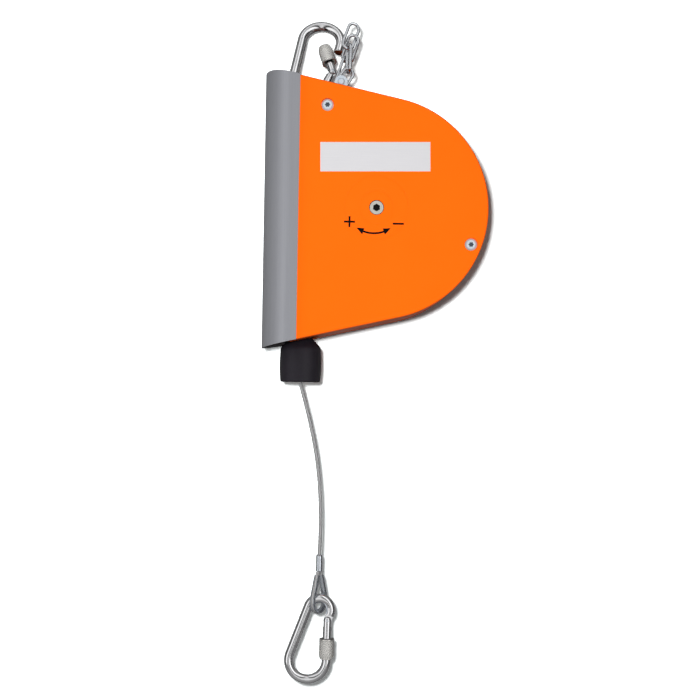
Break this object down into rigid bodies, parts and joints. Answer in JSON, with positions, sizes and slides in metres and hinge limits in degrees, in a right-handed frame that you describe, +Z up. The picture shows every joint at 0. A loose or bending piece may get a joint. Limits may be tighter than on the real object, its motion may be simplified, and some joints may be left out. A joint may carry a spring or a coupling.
{
  "type": "spring tool balancer",
  "caption": "Spring balancer with a D-shaped orange housing, grey edge profile, upper snap hook, safety chain, and a rope with stop buffer ending in a thimble and lower snap hook.",
  "frame": {"origin": "highest point inside the upper hook's crown, where the hook bears on the beam or eye that holds it", "axes": "+Z up, along the pull of the rope; +X to the housing's round end; +Y from the labelled front cover to the rear cover"},
  "size_m": [0.1707, 0.0794, 0.5198],
  "materials": {
    "orange_shell": "satin powder coat",
    "grey_profile": "satin anodised",
    "zinc_steel": "bright zinc plate",
    "plated_hook": "bright nickel plate",
    "knurled_sleeve": "fine knurled",
    "steel_rope": "stranded wire",
    "black_rubber": "matt",
    "bronze": "sintered",
    "drum_alloy": "cast and turned",
    "spring_steel": "blued strip",
    "guide_plastic": "moulded",
    "label_film": "blank silver film",
    "printed_mark": "screen print"
  },
  "bodies": {
    "housing": {"front_cover": "orange_shell", "rear_cover": "orange_shell", "edge_profile": "grey_profile", "cover_screws": "zinc_steel", "shaft_bushes": "bronze", "suspension_bolt": "zinc_steel", "rope_guide": "guide_plastic", "guide_bush": "bronze", "chain_lug": "zinc_steel", "chain_bush": "zinc_steel", "chain_washer": "zinc_steel", "chain_screw": "zinc_steel", "chain_nut": "zinc_steel", "pawl_pin": "zinc_steel", "label_plate": "label_film", "tension_marks": "printed_mark"},
    "roller": {"suspension_roller": "zinc_steel"},
    "upper_hook": {"upper_hook": "plated_hook", "upper_gate_pin": "zinc_steel"},
    "upper_gate": {"upper_gate": "plated_hook"},
    "upper_sleeve": {"upper_lock_sleeve": "knurled_sleeve"},
    "drum": {"rope_drum": "drum_alloy", "drum_lid": "drum_alloy", "drum_bushes": "bronze", "wound_rope": "steel_rope", "mainspring": "spring_steel"},
    "shaft": {"tension_shaft": "zinc_steel", "spring_core": "zinc_steel", "ratchet_wheel": "zinc_steel"},
    "pawl": {"lock_pawl": "zinc_steel"},
    "rope_end": {"stop_buffer": "black_rubber", "stop_sleeve": "zinc_steel", "inner_rope_run": "steel_rope", "free_rope": "steel_rope", "rope_ferrule": "zinc_steel", "rope_eye": "steel_rope", "thimble": "zinc_steel"},
    "lower_hook": {"lower_hook": "plated_hook", "lower_gate_pin": "zinc_steel"},
    "lower_gate": {"lower_gate": "plated_hook"},
    "lower_sleeve": {"lower_lock_sleeve": "knurled_sleeve"},
    "link_1": {"chain_link_1": "plated_hook"},
    "link_2": {"chain_link_2": "plated_hook"},
    "link_3": {"chain_link_3": "plated_hook"},
    "link_4": {"chain_link_4": "plated_hook"},
    "link_5": {"chain_link_5": "plated_hook"}
  },
  "joints": [
    {"name": "hook_swing", "type": "hinge", "parent": "housing", "child": "roller", "pos_m": [-0.01161, -0.02251, -0.05572], "axis": [0, -1, 0], "range_deg": [-12, 25]},
    {"name": "hook_tilt", "type": "hinge", "parent": "roller", "child": "upper_hook", "pos_m": [-0.01161, -0.02251, -0.05572], "axis": [1, 0, 0], "range_deg": [-3, 22]},
    {"name": "upper_gate", "type": "hinge", "parent": "upper_hook", "child": "upper_gate", "pos_m": [0.00953, -0.01499, -0.03709], "axis": [0, -0.9272, 0.3746], "range_deg": [0, 8], "stiffness_Nm_per_rad": 0.02, "springref_deg": -34.38},
    {"name": "upper_sleeve", "type": "slide", "parent": "upper_gate", "child": "upper_sleeve", "axis": [-0.2924, 0.3582, 0.8867], "range_m": [-0.003, 0]},
    {"name": "rope_pull", "type": "slide", "parent": "housing", "child": "rope_end", "axis": [0, 0, -1], "range_m": [0, 2], "stiffness_N_per_m": 4, "springref_m": -5, "deforming": ["inner_rope_run"]},
    {"name": "drum_turn", "type": "hinge", "parent": "housing", "child": "drum", "pos_m": [0.04479, -0.02251, -0.14922], "axis": [0, -1, 0], "range_deg": [0, 2040]},
    {"name": "tension_adjust", "type": "hinge", "parent": "housing", "child": "shaft", "pos_m": [0.04479, -0.02251, -0.14922], "axis": [0, 1, 0], "range_deg": [0, 20]},
    {"name": "pawl_lift", "type": "hinge", "parent": "housing", "child": "pawl", "pos_m": [0.03579, -0.02251, -0.12322], "axis": [0, -1, 0], "range_deg": [0, 15.5]},
    {"name": "lower_hook_swing", "type": "hinge", "parent": "rope_end", "child": "lower_hook", "pos_m": [0.00602, -0.02251, -0.45582], "axis": [0, 1, 0], "range_deg": [-20, 20]},
    {"name": "lower_sleeve", "type": "slide", "parent": "lower_gate", "child": "lower_sleeve", "axis": [0.0157, 0, 0.9999], "range_m": [0, 0.008]},
    {"name": "lower_gate", "type": "hinge", "parent": "lower_hook", "child": "lower_gate", "pos_m": [0.01239, -0.02251, -0.46382], "axis": [0, 1, 0], "range_deg": [0, 14.5]},
    {"name": "chain_link_1", "type": "hinge", "parent": "housing", "child": "link_1", "pos_m": [0.01659, -0.02251, -0.04922], "axis": [0, 1, 0], "range_deg": [-2, 2]},
    {"name": "chain_link_2", "type": "hinge", "parent": "link_1", "child": "link_2", "pos_m": [0.02307, -0.03311, -0.03887], "axis": [-0.9084, 0, 0.418], "range_deg": [-5, 5]},
    {"name": "chain_link_3", "type": "hinge", "parent": "link_2", "child": "link_3", "pos_m": [0.02186, -0.03198, -0.02028], "axis": [0.2987, -0.8892, 0.3464], "range_deg": [-5, 2]},
    {"name": "chain_link_4", "type": "hinge", "parent": "link_3", "child": "link_4", "pos_m": [0.0259, -0.03107, -0.01828], "axis": [0.3085, 0.2056, 0.9287], "range_deg": [-5, 5]},
    {"name": "chain_link_5", "type": "hinge", "parent": "link_4", "child": "link_5", "pos_m": [0.01732, -0.02435, -0.02763], "axis": [0.1211, 0.3278, -0.937], "range_deg": [-5, 5]}
  ],
  "couplings": [
    {"joint": "drum_turn", "follows": "rope_pull", "rad_per_m": 17.73},
    {"joint": "pawl_lift", "follows": "tension_adjust", "ratio": 0.75},
    {"joint": "lower_gate", "follows": "lower_sleeve", "rad_per_m": 31.416}
  ]
}
